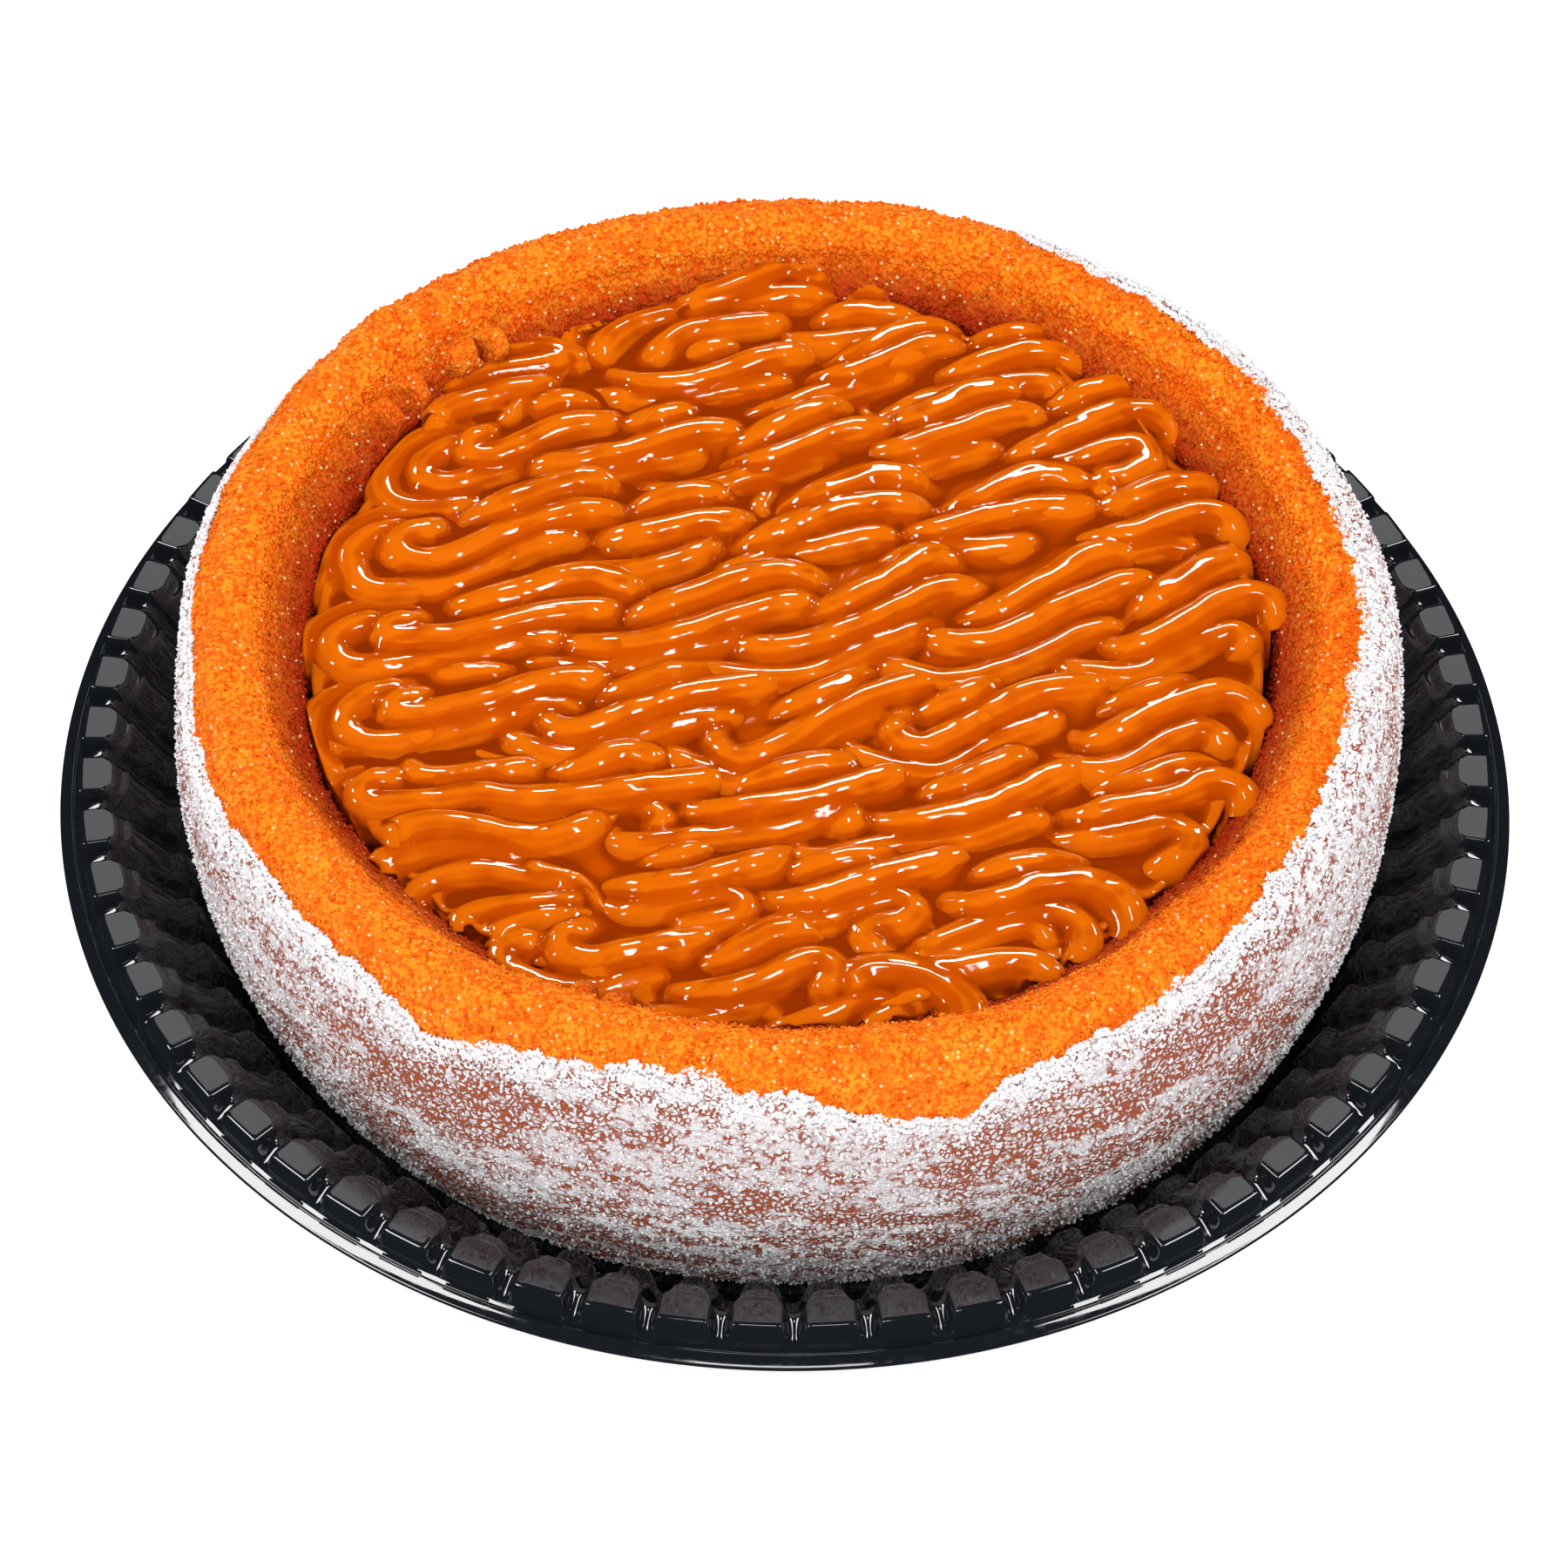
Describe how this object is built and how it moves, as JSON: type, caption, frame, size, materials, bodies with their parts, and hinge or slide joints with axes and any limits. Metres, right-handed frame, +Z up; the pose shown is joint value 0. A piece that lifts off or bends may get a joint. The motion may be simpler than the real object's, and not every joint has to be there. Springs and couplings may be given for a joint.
{
  "type": "churro cake on plate",
  "caption": "Round barrel-sided sponge cake with a sugared side, a raised crumb rim and a piped caramel top, on a round black plastic plate with a blocked rim.",
  "frame": {"origin": "centre of the plate's underside, on the surface that it stands on", "axes": "+Z up, through the middle of the cake; -Y towards the side that the picture shows"},
  "size_m": [0.3, 0.3, 0.0733],
  "materials": {
    "plate_plastic": "glossy black thermoformed plastic",
    "sponge": "matt open crumb, with white sugar on the side",
    "sugar": "matt fine sugar",
    "caramel": "wet gloss, slightly translucent"
  },
  "bodies": {
    "root": {"plate": "plate_plastic", "cake": "sponge", "filling": "caramel"}
  },
  "joints": []
}
